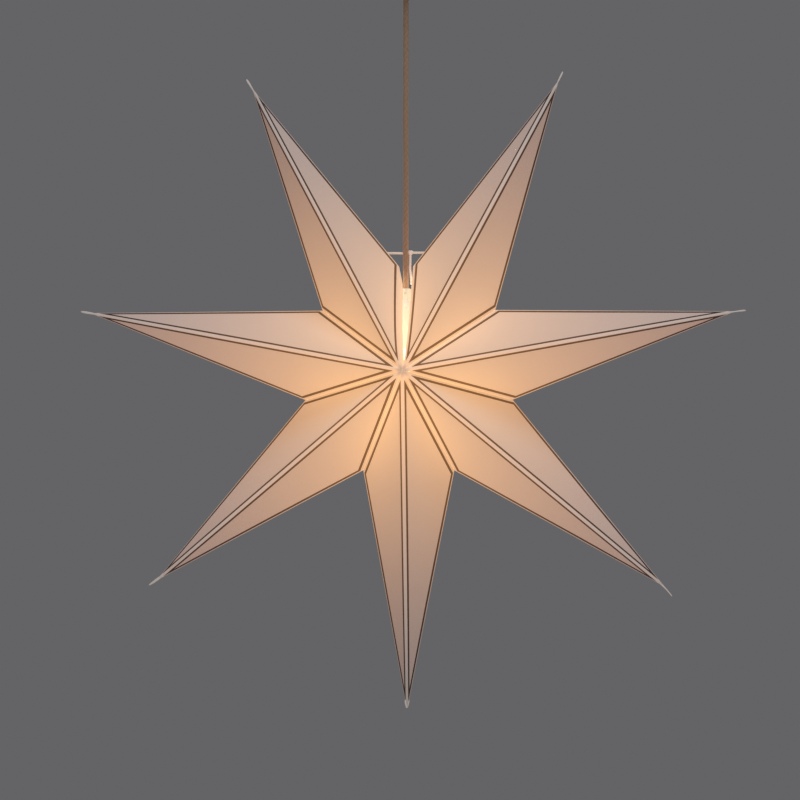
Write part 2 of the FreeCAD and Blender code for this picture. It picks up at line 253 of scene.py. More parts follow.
# New shader node group of plain floats: inputs are pairs of name and default, outputs are names.
def nodeGroup(name, inputs, outputs):
    group = bpy.data.node_groups.new(name, "ShaderNodeTree")
    for key, value in inputs:
        socket = group.interface.new_socket(name=key, in_out="INPUT", socket_type="NodeSocketFloat")
        socket.default_value = value
    for key in outputs:
        group.interface.new_socket(name=key, in_out="OUTPUT", socket_type="NodeSocketFloat")
    build = Nodes(group)
    return group, build, build.add("NodeGroupInput").outputs, build.add("NodeGroupOutput").inputs


# Paper or plastic grain: fine fibres over soft clouds. Tone varies round 1, Height round 0.
def makeGrainGroup():
    stretch = (1.0, 0.6, 0.8)
    group, g, given, out = nodeGroup(
        "fineGrain",
        [("Fibre Scale", 900.0), ("Cloud Scale", 45.0), ("Fibre Amount", 0.04), ("Cloud Amount", 0.03)],
        ["Tone", "Height"])
    place = g.place()
    fibre = g.noise(g.vector("MULTIPLY", place, stretch), given["Fibre Scale"], 4.0, 0.6)
    fibre = g.math("SUBTRACT", fibre, 0.5)
    cloud = g.math("SUBTRACT", g.noise(place, given["Cloud Scale"], 2.0), 0.5)
    tone = g.math("MULTIPLY_ADD", fibre, given["Fibre Amount"], 1.0)
    g.put(g.math("MULTIPLY_ADD", cloud, given["Cloud Amount"], tone), out["Tone"])
    g.put(fibre, out["Height"])
    return group


# Lamp light that comes through the paper. With d the distance from the star's centre beyond Full
# Within, Glow is Strength times e to the power of minus d over Reach; d stops just below zero.
def makeGlowGroup():
    leastBeyond = -12 * mm
    group, g, given, out = nodeGroup(
        "lampGlow", [("Strength", 1.0), ("Reach", 0.15), ("Full Within", 0.07)], ["Glow", "Distance"])
    distance = g.vector("LENGTH", g.vector("SUBTRACT", g.place(), tuple(starCentre)))
    beyond = g.math("MAXIMUM", g.math("SUBTRACT", distance, given["Full Within"]), leastBeyond)
    fall = g.math("EXPONENT", g.math("MULTIPLY", g.math("DIVIDE", beyond, given["Reach"]), -1.0))
    g.put(g.math("MULTIPLY", fall, given["Strength"]), out["Glow"])
    g.put(distance, out["Distance"])
    return group


fineGrain = makeGrainGroup()
lampGlow = makeGlowGroup()


# Material with one Principled shader; constants go straight on its own sockets.
def newMaterial(name, colour, roughness, metallic=0.0, **constants):
    material = bpy.data.materials.new(name)
    material.use_nodes = True
    m = Nodes(material.node_tree)
    shader = material.node_tree.nodes["Principled BSDF"]
    m.put((*colour, 1), shader.inputs["Base Color"])
    m.put(roughness, shader.inputs["Roughness"])
    m.put(metallic, shader.inputs["Metallic"])
    for key, value in constants.items():
        m.put(value, shader.inputs[key])
    return material, m, shader


# Gives a material tone variation on its colour and a fine bump; returns the grain and the toned colour.
def grainOn(m, shader, colour, fibreScale, fibreAmount, cloudAmount, bump, cloudScale):
    grain = m.group(fineGrain, {"Fibre Scale": fibreScale, "Cloud Scale": cloudScale,
                                "Fibre Amount": fibreAmount, "Cloud Amount": cloudAmount})
    toned = m.scaled(colour, grain["Tone"])
    m.put(toned, shader.inputs["Base Color"])
    height = m.add("ShaderNodeBump", {"Height": grain["Height"], "Strength": 1.0, "Distance": bump})
    m.put(height.outputs["Normal"], shader.inputs["Normal"])
    return grain, toned


def glowOf(m, strength, reach, fullWithin):
    return m.group(lampGlow, {"Strength": strength, "Reach": reach, "Full Within": fullWithin})


# Emission of a colour times a light that changes over the surface.
def emitOn(m, shader, colour, light):
    m.put(m.scaled(colour, light), shader.inputs["Emission Color"])
    shader.inputs["Emission Strength"].default_value = 1.0


# paper of the star: its sheet, its printed border, and the lamp's glow through it
paperLook = dict(
    sheet=(0.64, 0.64, 0.63), roughness=0.72, grain=(1100.0, 0.10, 0.02, 0.00004, 50.0),
    # the near and far ink colours are the lamp's painted glow through the printed lines, not the ink's own colour
    ink=(0.03, 0.02, 0.015), inkCover=0.97, nearInk=(0.34, 0.145, 0.045), farInk=(0.09, 0.035, 0.014),
    ridgeInset=4.6 * mm, outlineInset=3.2 * mm, valleyInset=4.6 * mm, lineWidth=3.0 * mm, lineBlur=0.18 * mm,
    wobble=0.3 * mm, wobbleScale=260.0,
    nearGlow=(1.0, 0.505, 0.196), farGlow=(1.0, 0.468, 0.262), farAt=0.30,
    strength=0.734, reach=0.192, fullWithin=0.07,
    # painted highlight on the ridge strips: how much the glow is lifted there, where, and how pale it turns
    ridgeLift=0.25, liftFrom=0.7, liftTo=1.2, ridgePale=0.7,
    apexShade=0.60, apexFrom=2 * mm, apexReach=9 * mm)
insideLook = dict(sheet=(0.64, 0.64, 0.63), roughness=0.8, grain=(1100.0, 0.10, 0.02, 0.00004, 50.0),
                  lit=(0.99, 0.75, 0.50), strength=0.66, reach=0.16, fullWithin=0.06)
twistedLook = dict(sheet=(0.64, 0.64, 0.63), roughness=0.75, grain=(1100.0, 0.14, 0.05, 0.00008, 260.0),
                   lit=(1.0, 0.75, 0.62), strength=0.95, reach=0.192, fullWithin=0.07)


# Printed border of a facet: a line whose middle keeps a set distance from the facet's three
# creases. Its mask is 1 where the least of the three distances, each less its inset, is near zero.
def makeBorderGroup(look):
    group, g, given, out = nodeGroup(
        "printedBorder",
        [("Ridge Inset", look["ridgeInset"]), ("Outline Inset", look["outlineInset"]),
         ("Valley Inset", look["valleyInset"]), ("Width", look["lineWidth"]), ("Blur", look["lineBlur"])],
        ["Ink"])
    away = g.add("ShaderNodeSeparateXYZ", {0: g.attribute("creaseDistance", "Vector")}).outputs
    ridge = g.math("SUBTRACT", away[0], given["Ridge Inset"])
    outline = g.math("SUBTRACT", away[1], given["Outline Inset"])
    valley = g.math("SUBTRACT", away[2], given["Valley Inset"])
    least = g.math("MINIMUM", g.math("MINIMUM", ridge, outline), valley)
    shake = g.math("SUBTRACT", g.noise(g.place(), look["wobbleScale"], 3.0), 0.5)
    off = g.math("ABSOLUTE", g.math("ADD", least, g.math("MULTIPLY", shake, look["wobble"])))
    half = g.math("MULTIPLY", given["Width"], 0.5)
    inner = g.math("SUBTRACT", half, given["Blur"])
    outer = g.math("ADD", half, given["Blur"])
    g.put(g.range(off, inner, outer, 1.0, 0.0), out["Ink"])
    return group


# The layers glued at each apex let less light through: a ramp with the distance from the Y axis.
def apexShadeOf(m, look):
    flat = m.vector("MULTIPLY", m.vector("SUBTRACT", m.place(), tuple(starCentre)), (1, 0, 1))
    return m.range(m.vector("LENGTH", flat), look["apexFrom"], look["apexReach"], look["apexShade"], 1.0)


# Outer face of the arms. Emission is the glow times the arm's own share, shaded at the apexes and lifted on the
# ridges by a painted highlight; its colour goes from near to far, paler on far ridges as part of that painted
# highlight, and dark where the glow passes the ink.
def makeStarPaper(look):
    material, m, shader = newMaterial("starPaper", look["sheet"], look["roughness"])
    ink = m.math("MULTIPLY", m.group(makeBorderGroup(look), {})["Ink"], look["inkCover"])
    glow = glowOf(m, look["strength"], look["reach"], look["fullWithin"])
    grain, toned = grainOn(m, shader, look["sheet"], *look["grain"])
    m.put(m.mix(ink, toned, (*look["ink"], 1)), shader.inputs["Base Color"])

    share = m.attribute("glowShare", "Fac")
    fromRidge = m.add("ShaderNodeSeparateXYZ", {0: m.attribute("creaseDistance", "Vector")}).outputs[0]
    full = 1.0 + look["ridgeLift"]
    inset = look["ridgeInset"]
    # painted highlight: the glow lifted on the strip between the ridge and its printed line
    ridgeHighlightLift = m.range(fromRidge, inset * look["liftFrom"], inset * look["liftTo"], full, 1.0)
    light = m.math("MULTIPLY", m.math("MULTIPLY", glow["Glow"], share), grain["Tone"])
    light = m.math("MULTIPLY", m.math("MULTIPLY", light, apexShadeOf(m, look)), ridgeHighlightLift)

    far = m.range(glow["Distance"], look["fullWithin"], look["farAt"], 0.0, 1.0, "LINEAR")
    tint = m.mix(far, (*look["nearGlow"], 1), (*look["farGlow"], 1))
    # far ridges turn paler, as part of the painted highlight
    pale = m.math("MULTIPLY", far, m.range(ridgeHighlightLift, 1.0, full, 0.0, look["ridgePale"]))
    tint = m.mix(pale, tint, (*twistedLook["lit"], 1))
    # colour of the painted glow where it passes the ink
    inkGlowTint = m.mix(far, (*look["nearInk"], 1), (*look["farInk"], 1))
    emitOn(m, shader, m.mix(ink, tint, inkGlowTint), light)
    return material


# Plain lit paper, for the arms' inner faces and for the twisted ends, which are several layers.
def makeLitPaper(name, look):
    material, m, shader = newMaterial(name, look["sheet"], look["roughness"])
    grain, _ = grainOn(m, shader, look["sheet"], *look["grain"])
    glow = glowOf(m, look["strength"], look["reach"], look["fullWithin"])
    emitOn(m, shader, look["lit"], m.math("MULTIPLY", glow["Glow"], grain["Tone"]))
    return material


starPaper = makeStarPaper(paperLook)
twistedPaper = makeLitPaper("twistedPaper", twistedLook)
insidePaper = makeLitPaper("starPaperInside", insideLook)
print("paper materials made")


# arms of the star
star = dict(
    valleyRadius=111.8 * mm, halfDepth=95 * mm, pitch=50.4, paper=0.4 * mm, glueGap=0.1 * mm,
    flapWidth=6 * mm,
    ridgeBlunt=1.6 * mm, ridgeWidth=4.8 * mm, outlineBlunt=0.25 * mm, outlineWidth=1.6 * mm,
    creaseLimit=0.42, waviness=0.45 * mm, crumpleReach=11 * mm, crumple=0.7 * mm, apexSink=0.5 * mm,
    columnsPerSide=24, facetRows=66, rowCrowding=1.25, firstRowAt=0.985, baseRowsAt=(0.012, 0.004, 0.0),
    bowFade=0.3, bowSkew=0.65, flapTaper=(0.16, 0.05), flapLeast=0.03, flapRows=(0.06, 0.3, 0.65, 1.0),
    squashKeep=0.011, taperedBorder=0.5,
    glowAt=(0.03, 0.12, 0.34), holderShade=0.21, holderFrom=(0.15, -0.45, 0.88),
    flat=(0.510, 0.365), firstSeed=40)
# facet ripples: waves along and across the facet, and their shares of the drawn heights
ripple = dict(along=2.0, across=1.5, alongShare=0.5, acrossShare=0.3)
# small creases round an apex: how many coarse and fine waves, the coarse ones' shift from arm to arm
apexCrease = dict(coarse=7, fine=16, fineShare=0.5, armShift=1.7)
# each arm: steps from straight down, lean of its tip, its body, radius of its tip and of its tail's
# end, share of the glow near the centre, at the valleys and at the tip, the tail's bend sideways
# and its half width
arms = {
    "arm_bottom": dict(steps=0, lean=-0.3, body="star", tip=351 * mm, end=347 * mm,
                       glow=(1.12, 0.84, 0.62), bend=-0.2 * mm, tail=2.4 * mm),
    "arm_lower_right": dict(steps=1, lean=-0.25, body="lower_right", tip=345 * mm, end=356 * mm,
                            glow=(1.00, 0.97, 1.06), bend=-2.8 * mm, tail=1.0 * mm),
    "arm_lower_left": dict(steps=-1, lean=-0.35, body="lower_left", tip=343 * mm, end=351 * mm,
                           glow=(1.03, 0.97, 1.00), bend=-1.2 * mm, tail=1.2 * mm),
    "arm_right": dict(steps=2, lean=-0.2, body="right", tip=344 * mm, end=353.5 * mm,
                      glow=(1.06, 1.00, 1.20), bend=-1.1 * mm, tail=1.1 * mm),
    "arm_left": dict(steps=-2, lean=0.0, body="left", tip=342 * mm, end=351.5 * mm,
                     glow=(1.03, 1.01, 1.14), bend=0.4 * mm, tail=1.1 * mm),
    "arm_upper_right": dict(steps=3, lean=1.6, body="upper_right", tip=342 * mm, end=351 * mm,
                            glow=(1.05, 0.92, 0.90), bend=0.3 * mm, tail=0.9 * mm),
    "arm_upper_left": dict(steps=-3, lean=0.0, body="upper_left", tip=342 * mm, end=352 * mm,
                           glow=(0.92, 0.88, 0.80), bend=0.8 * mm, tail=1.0 * mm),
}
# the two free edges at the seam: how far the valley corner and the fold stand off towards the slit,
# and the flap's turn in degrees
seamEdge = {
    "arm_upper_right": dict(corner=2.4 * mm, middle=-1.7 * mm, flapTurn=80.0),
    "arm_upper_left": dict(corner=-3.0 * mm, middle=-2.7 * mm, flapTurn=10.0),
}
halfAngle = math.radians(star["pitch"] / 2)


# Turns points about the Y axis through the star's centre, the way an arm is stepped round.
def turnInPlane(points, degrees):
    a = -math.radians(degrees)
    turn = np.array([[math.cos(a), 0, math.sin(a)], [0, 1, 0], [-math.sin(a), 0, math.cos(a)]])
    return points @ turn.T


# Base corners (front apex, right valley, back apex, left valley) and tip of an arm that points down.
def armCorners(arm):
    lean = math.radians(arm["lean"])
    valley = star["valleyRadius"] * np.array([math.sin(halfAngle), 0, -math.cos(halfAngle)])
    corners = np.array([[0, -star["halfDepth"], 0], valley, [0, star["halfDepth"], 0], valley * (-1, 1, 1)])
    tip = arm["tip"] * np.array([math.sin(lean), 0, -math.cos(lean)])
    return corners, tip


# Lengths of the perpendiculars from points p to the lines through p0 and p1.
def heightOver(p, p0, p1):
    return np.linalg.norm(np.cross(p - p0, unit(p1 - p0)), axis=1)


# How far a point moves in near a rounded crease: depth x (1 - distance / width) squared.
def bluntCrease(distance, width, depth):
    return depth * np.clip(1 - distance / width, 0, 1) ** 2


# Facets are not quite flat. Each swells by a half sine across and a half sine along it, times a
# drawn height with two drawn cosine ripples on it.
def facetSwell(side, t, s, rng):
    swell = np.zeros((len(s), len(t)))
    for k in range(4):
        amount = star["waviness"] * rng.uniform(-1, 1, 3)
        phase = rng.uniform(0, 1, 2)
        own = side == k
        wave = np.sin(np.pi * t[own])[None] * np.sin(np.pi * np.clip(s * 1.02, 0, 1))[:, None]
        down = np.cos(2 * np.pi * (ripple["along"] * s[:, None] + phase[0])) * amount[1]
        cross = np.cos(2 * np.pi * (ripple["across"] * t[own][None] + phase[1])) * amount[2]
        swell[:, own] = wave * (amount[0] + down * ripple["alongShare"] + cross * ripple["acrossShare"])
    return swell


# How deep the paper sinks round an apex: small radial creases, fading out with the distance from it.
def apexCrumple(sheet, apex, steps):
    near = np.clip(1 - np.linalg.norm(sheet - apex, axis=2) / star["crumpleReach"], 0, 1)
    spin = np.arctan2(sheet[..., 0], -sheet[..., 2])
    crease = np.abs(np.sin(spin * apexCrease["coarse"] + steps * apexCrease["armShift"]))
    crease += apexCrease["fineShare"] * np.abs(np.sin(spin * apexCrease["fine"] + steps))
    return near ** 1.5 * (star["apexSink"] + star["crumple"] * crease)


# The arm's folded sheet as rings from its tip to its flaps' edges. A ring goes round the four
# creases; the ring at share s of the arm is each base corner moved s of the way to the tip. After
# the last facet ring come the flaps, each leaving its base edge at right angles; the two at the
# seam's front are turned by their own angle. Also returns the points' distances from the creases
# and the number of facet rings.
def armSheet(name, arm, rng):
    corners, tip = armCorners(arm)
    n = star["columnsPerSide"]
    t = np.tile(0.5 - 0.5 * np.cos(np.pi * np.arange(n) / n), 4)
    side = np.repeat(np.arange(4), n)
    a, b = corners[side], corners[(side + 1) % 4]
    edge = a + (b - a) * t[:, None]
    baseIn = {1: unit(np.cross(corners[2] - corners[0], corners[1] - corners[0])),
              -1: unit(np.cross(corners[2] - corners[0], corners[3] - corners[0]))}
    for key in baseIn:
        if baseIn[key][2] > 0:
            baseIn[key] = -baseIn[key]
    lateral = np.where(side < 2, 1, -1)
    inward = np.stack([baseIn[k] for k in lateral])
    edge = edge + inward * star["glueGap"] / 2

    # the seam's free edge bows, and its valley corner stands off
    toValley = np.where(side % 2 == 0, t, 1 - t)
    seam = seamEdge.get(name)
    seamSide = np.sign(arm["steps"])
    cornerBow, edgeBow = np.zeros(len(t)), np.zeros(len(t))
    if seam:
        own = lateral == seamSide
        cornerBow = own * seam["corner"] * toValley
        edgeBow = own * seam["middle"] * np.sin(np.pi * toValley ** star["bowSkew"])

    # rows start just short of the tip and end on the base, a few of them close to it
    rows = 1 - (1 - np.linspace(0, 1, star["facetRows"])) ** star["rowCrowding"]
    s = star["firstRowAt"] * (1 - rows)
    s[-len(star["baseRowsAt"]):] = star["baseRowsAt"]
    fade = np.clip(1 - s / star["bowFade"], 0, 1) ** 2
    sheet = edge[None] + (tip - edge[None]) * s[:, None, None]
    bow = cornerBow[None] * (1 - s[:, None]) + edgeBow[None] * fade[:, None]
    sheet = sheet - inward[None] * bow[..., None]

    # creases are blunted towards the arm's middle line, and facets swell
    length = np.linalg.norm(b - a, axis=1)[None] * (1 - s[:, None])
    limit = length * star["creaseLimit"]
    ridgeWidth = np.minimum(star["ridgeWidth"], limit)
    outlineWidth = np.minimum(star["outlineWidth"], limit)
    move = bluntCrease(toValley[None] * length, ridgeWidth,
                       star["ridgeBlunt"] * ridgeWidth / star["ridgeWidth"])
    move += bluntCrease((1 - toValley)[None] * length, outlineWidth,
                        star["outlineBlunt"] * outlineWidth / star["outlineWidth"])
    generator = unit(tip - edge)[None]
    inDir = sheet.mean(1, keepdims=True) - sheet
    inDir = unit(inDir - generator * np.sum(inDir * generator, axis=2, keepdims=True))
    apex = np.where(np.isin(side, (0, 3))[None, :, None], corners[0], corners[2])
    swell = facetSwell(side, t, s, rng)
    sink = apexCrumple(sheet, apex, arm["steps"])
    sheet = sheet + inDir * (move + swell)[..., None]
    sheet[..., 1] -= np.sign(sheet[..., 1]) * sink

    # flaps: from the fold, across their width, tapered at both ends
    atValley, atRidge = star["flapTaper"]
    taper = np.minimum((1 - toValley) / atValley, toValley / atRidge)
    width = star["flapWidth"] * np.clip(taper, star["flapLeast"], 1)
    along = unit(b - a)
    flapDir = np.cross(inward, along)
    flapDir *= -np.sign(flapDir[:, 1] * edge[:, 1])[:, None]
    if seam:
        turn = math.radians(seam["flapTurn"])
        own = (lateral == seamSide) & np.isin(side, (0, 3))
        facetOut = unit(edge - tip)
        flat = unit(facetOut - along * np.einsum("ij,ij->i", facetOut, along)[:, None])
        turned = flat * math.cos(turn) + flapDir * math.sin(turn)
        flapDir = np.where(own[:, None], unit(turned), flapDir)
    q = np.array(star["flapRows"])
    flaps = sheet[-1][None] + flapDir[None] * (q[:, None] * width[None])[..., None]

    # distances from the facet's creases, in the plane of the facet, for the printed border
    even = (side % 2 == 0)[:, None]
    ridgeEnd, valleyEnd = np.where(even, a, b), np.where(even, b, a)
    tips = np.broadcast_to(tip, a.shape)
    fromRidge = heightOver(valleyEnd, ridgeEnd, tips)
    fromOutline = heightOver(ridgeEnd, valleyEnd, tips)
    fromValley = heightOver(tips, ridgeEnd, valleyEnd)
    base = 1 - s[:, None]
    distance = np.stack([base * toValley[None] * fromRidge[None],
                         base * (1 - toValley[None]) * fromOutline[None],
                         s[:, None] * np.broadcast_to(fromValley, length.shape)], -1)
    distance[..., :2] *= (1 + star["taperedBorder"] * s ** 4)[:, None, None]
    # nothing is printed on the flaps, so their distances are far from any inset
    unprinted = np.broadcast_to(np.array([1.0, 1.0, -0.05]), flaps.shape)
    return np.concatenate([sheet, flaps]), np.concatenate([distance, unprinted]), len(s)


# Unit normals of a grid whose columns close.
def ringNormals(rings):
    down = np.gradient(rings, axis=0)
    wide = np.concatenate([rings[:, -1:], rings, rings[:, :1]], 1)
    around = wide[:, 2:] - wide[:, :-2]
    return unit(np.cross(around, down) + 1e-12)


# Share of the lamp's glow: the arm's three values over the radius, less where the facet faces the
# lampholder's side. Front and back facets count alike.
def glowShare(rings, normals, arm):
    facing = -turnInPlane(normals, arm["steps"] * star["pitch"])
    facing[..., 1] = -np.abs(facing[..., 1])
    shade = np.clip(facing @ unit(star["holderFrom"]), 0, 1)
    radius = np.hypot(rings[..., 0] - starCentre[0], rings[..., 2] - starCentre[2])
    return np.interp(radius, star["glowAt"], arm["glow"]) * (1 - star["holderShade"] * shade)


# Paper shell of an arm: the outer rings, then every second facet ring and each flap ring again, a
# paper's thickness inside.
def makeArm(name, arm, seed):
    outer, distance, facetRings = armSheet(name, arm, np.random.default_rng(seed))
    normals = ringNormals(outer)
    centre = outer.mean(1, keepdims=True)
    if np.einsum("ij,ij->", normals[20], centre[20] - outer[20]) < 0:
        normals = -normals
    thick = np.minimum(star["paper"], 0.25 * np.linalg.norm(outer - centre, axis=2))
    inner = outer + normals * thick[..., None]
    kept = np.unique(np.r_[0:facetRings:2, facetRings - 2:len(outer)])

    def withInner(onOuter, onInner):
        return np.concatenate([onOuter, onInner[kept][::-1]])

    rings = turnInPlane(withInner(outer, inner), arm["steps"] * star["pitch"]) + starCentre
    share = glowShare(rings, withInner(normals, normals), arm)
    points, faces = closedTube(rings)
    # the two fan centres that close the tube come last
    away = np.concatenate([withInner(distance, distance).reshape(-1, 3), np.full((2, 3), mm)])
    share = np.concatenate([share.ravel(), [arm["glow"][2]] * 2])
    columns = rings.shape[1]
    slots = np.ones(len(faces), int)
    slots[:(len(outer) - 1) * columns] = 0
    tipFan = (len(rings) - 1) * columns
    slots[tipFan:tipFan + columns] = 0
    obj = meshFrom(name + "_sheet", points, faces, [starPaper, insidePaper], slots,
                   {"creaseDistance": away, "glowShare": share})
    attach(obj, arm["body"])
    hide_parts(name)
    squashWith(obj)


# A piece on an arm gets its own copy of its mesh.
def squashWith(obj):
    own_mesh(obj)


tailLook = dict(rings=26, sides=20, start=14 * mm, bendPower=2.2, sag=0.5 * mm, depth=0.75 * mm,
                twist=0.35, boxiness=0.7)


# Twisted paper end of an arm: a flattened tube along a gently bent line past the pyramid's tip. Its
# section is a rounded box that turns a little as it goes.
def makeTail(name, arm):
    steps = arm["steps"]
    u = np.linspace(0, 1, tailLook["rings"])
    start = arm["tip"] - tailLook["start"]
    reach = start + (arm["end"] - start) * u
    lean = math.radians(arm["lean"])
    line = np.stack([arm["bend"] * u ** tailLook["bendPower"] + reach * math.sin(lean),
                     -tailLook["sag"] * np.sin(3 * u), -reach * math.cos(lean)], 1)
    v = np.linspace(0, 2 * np.pi, tailLook["sides"], endpoint=False)
    blunt = np.sqrt(np.clip(1 - ((u - 0.5) * 2) ** 8, 0.02, 1))
    width = arm["tail"] * blunt * (0.8 + 0.25 * np.sin(5 * u + steps))
    depth = tailLook["depth"] * blunt * (1 + 0.2 * np.sin(9 * u + steps))
    twist = tailLook["twist"] * np.sin(2.5 * u + steps)
    x = width[:, None] * np.sign(np.cos(v)) * np.abs(np.cos(v)) ** tailLook["boxiness"]
    y = depth[:, None] * np.sin(v) * (1 + 0.25 * np.cos(3 * v))
    c, d = np.cos(twist)[:, None, None], np.sin(twist)[:, None, None]
    wide, deep = np.array([1.0, 0, 0]), np.array([0, 1.0, 0])
    rings = line[:, None] + x[..., None] * (wide * c + deep * d) + y[..., None] * (deep * c - wide * d)
    rings = turnInPlane(rings, steps * star["pitch"]) + starCentre
    points, faces = closedTube(rings[:, ::-1])
    obj = meshFrom(name + "_tail", points, faces, [twistedPaper])
    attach(obj, arm["body"])
    squashWith(obj)


for index, (name, arm) in enumerate(arms.items()):
    makeArm(name, arm, star["firstSeed"] + index)
    makeTail(name, arm)
print("arms folded:", len(arms))


# textile cord
cordLook = dict(radius=3.0 * mm, strands=8, pitch=11 * mm, relief=0.28 * mm, crownShare=0.28, columns=48,
                step=0.45 * mm, bendLength=30 * mm, copper=(0.76, 0.47, 0.30), shade=(0.38, 0.22, 0.13),
                # crown shading: how deep the painted shade in the braid's dips goes
                roughness=0.62, fibreScale=5200.0, fibreTone=0.4, crownTone=0.8, strandSwing=0.25)
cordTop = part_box("cord_tail")[0].z
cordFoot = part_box("textile_cord")[0].z
# route, top to bottom, in metres
cordRoute = [(0, 0, cordTop), (0, 0, -0.085), (0.0003, 0, -0.14), (-0.0003, 0.0002, -0.20),
             (0.0002, 0, -0.26), (-0.0002, 0, -0.32), (0, 0, -0.37), (0, 0, cordFoot)]


# Colour goes from the shade colour to copper. It follows the braid's painted shade, darker where a strand dips
# under the other, together with each strand's own tone and a fine fibre noise along the cord.
def makeBraidMaterial(name, look):
    material, m, shader = newMaterial(name, look["copper"], look["roughness"],
                                      **{"Sheen Weight": 0.3, "Sheen Roughness": 0.5})
    tone = m.attribute("strandTone", "Fac")
    fibre = m.noise(m.vector("MULTIPLY", m.place(), (1, 1, 0.35)), look["fibreScale"], 3.0, 0.6)
    crown = m.math("MULTIPLY", tone, look["crownTone"])
    bright = m.math("MULTIPLY_ADD", fibre, look["fibreTone"], crown, clamp=True)
    m.put(m.mix(bright, (*look["shade"], 1), (*look["copper"], 1)), shader.inputs["Base Color"])
    height = m.add("ShaderNodeBump", {"Height": fibre, "Strength": 0.7, "Distance": 0.08 * mm})
    m.put(height.outputs["Normal"], shader.inputs["Normal"])
    return material


# Diamond braid round a line. Two sets of strands wind opposite ways; in each diamond the set on
# top is crowned across its strand by a half circle, the other dips under it.
def braidedTube(name, line, look, material):
    path, s = evenly(line, look["step"])
    v = np.linspace(0, 2 * np.pi, look["columns"], endpoint=False)
    turns = look["strands"] * v[None] / (2 * np.pi)
    climb = look["strands"] * s[:, None] / look["pitch"] / 2
    one, two = turns + climb, turns - climb
    crownOne = np.sqrt(np.clip(1 - (2 * (one % 1) - 1) ** 2, 0, 1))
    crownTwo = np.sqrt(np.clip(1 - (2 * (two % 1) - 1) ** 2, 0, 1))
    top = (np.floor(one) + np.floor(two)) % 2 == 0
    share = look["crownShare"]
    crown = np.where(top, crownOne * (1 - share + share * crownTwo),
                     crownTwo * (1 - share + share * crownOne))
    radius = look["radius"] - look["relief"] * (1 - crown)
    points, faces = closedTube(path[:, None] + circlesAlong(path, v) * radius[..., None])
    strand = np.where(top, np.floor(one), np.floor(two))
    swing = look["strandSwing"]
    # painted shade in the braid: darker where a strand dips under the other, times each strand's own random tone
    tone = crown * (1 - swing + swing * np.sin(strand * 2.4))
    tone = np.concatenate([tone.ravel(), [0.5, 0.5]])
    return meshFrom(name, points, faces, [material], None, {"strandTone": tone}), path


copperBraid = makeBraidMaterial("copperBraid", cordLook)
cord, cordPath = braidedTube("braided_cord", lineOfNurbs(cordRoute), cordLook, copperBraid)
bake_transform(cord)
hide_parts("textile_cord")


# tie string: two-ply cotton, lit a little by the lamp
stringLook = dict(radius=1.25 * mm, twist=3.4 * mm, ply=0.24, columns=24, step=0.3 * mm, endRadius=0.35,
                  cotton=(0.90, 0.87, 0.82), roughness=0.85, grain=(4200.0, 0.25, 0.06, 0.0001, 400.0),
                  lit=(1.0, 0.66, 0.50), strength=0.42, reach=0.12, fullWithin=0.07)


def makeCotton(look):
    material, m, shader = newMaterial("cottonString", look["cotton"], look["roughness"],
                                      **{"Sheen Weight": 0.25})
    grainOn(m, shader, look["cotton"], *look["grain"])
    emitOn(m, shader, look["lit"], glowOf(m, look["strength"], look["reach"], look["fullWithin"])["Glow"])
    return material


cotton = makeCotton(stringLook)


# Two plies round a line: the section is two lobes that turn as they go, and its ends are rounded.
def twistedString(name, line, look):
    path, s = evenly(line, look["step"])
    v = np.linspace(0, 2 * np.pi, look["columns"], endpoint=False)
    turn = 2 * np.pi * s[:, None] / look["twist"]
    lobes = 1 - look["ply"] + look["ply"] * np.abs(np.cos(v[None] - turn))
    ends = np.clip(np.minimum(s, s[-1] - s) / look["radius"], 0, 1)
    rounded = look["endRadius"] + (1 - look["endRadius"]) * np.sqrt(ends * (2 - ends))
    radius = look["radius"] * lobes * rounded[:, None]
    points, faces = closedTube(path[:, None] + circlesAlong(path, v) * radius[..., None])
    return meshFrom(name, points, faces, [cotton]), path


# Overhand knot: a trefoil line of one closed turn round its centre.
def knotLine(centre, size):
    u = np.linspace(0, 2 * np.pi, 90)
    x = (np.sin(u) + 2 * np.sin(2 * u)) / 3
    z = (np.cos(u) - 2 * np.cos(2 * u)) / 3
    y = -np.sin(3 * u) / 2.2
    return np.asarray(centre) + size * np.stack([x, y, z], 1)


# heights of its two lengths over the star's centre, radius of its loop, knot, stop knots and free end
tie = dict(left=124.8 * mm, right=125.4 * mm, loop=4.5 * mm, knotX=5.0 * mm, knotSize=1.75 * mm,
           stopIn=2.2 * mm, stopSize=1.5 * mm, freeX=4.6 * mm, freeTop=2.25 * mm, freeLength=31 * mm)


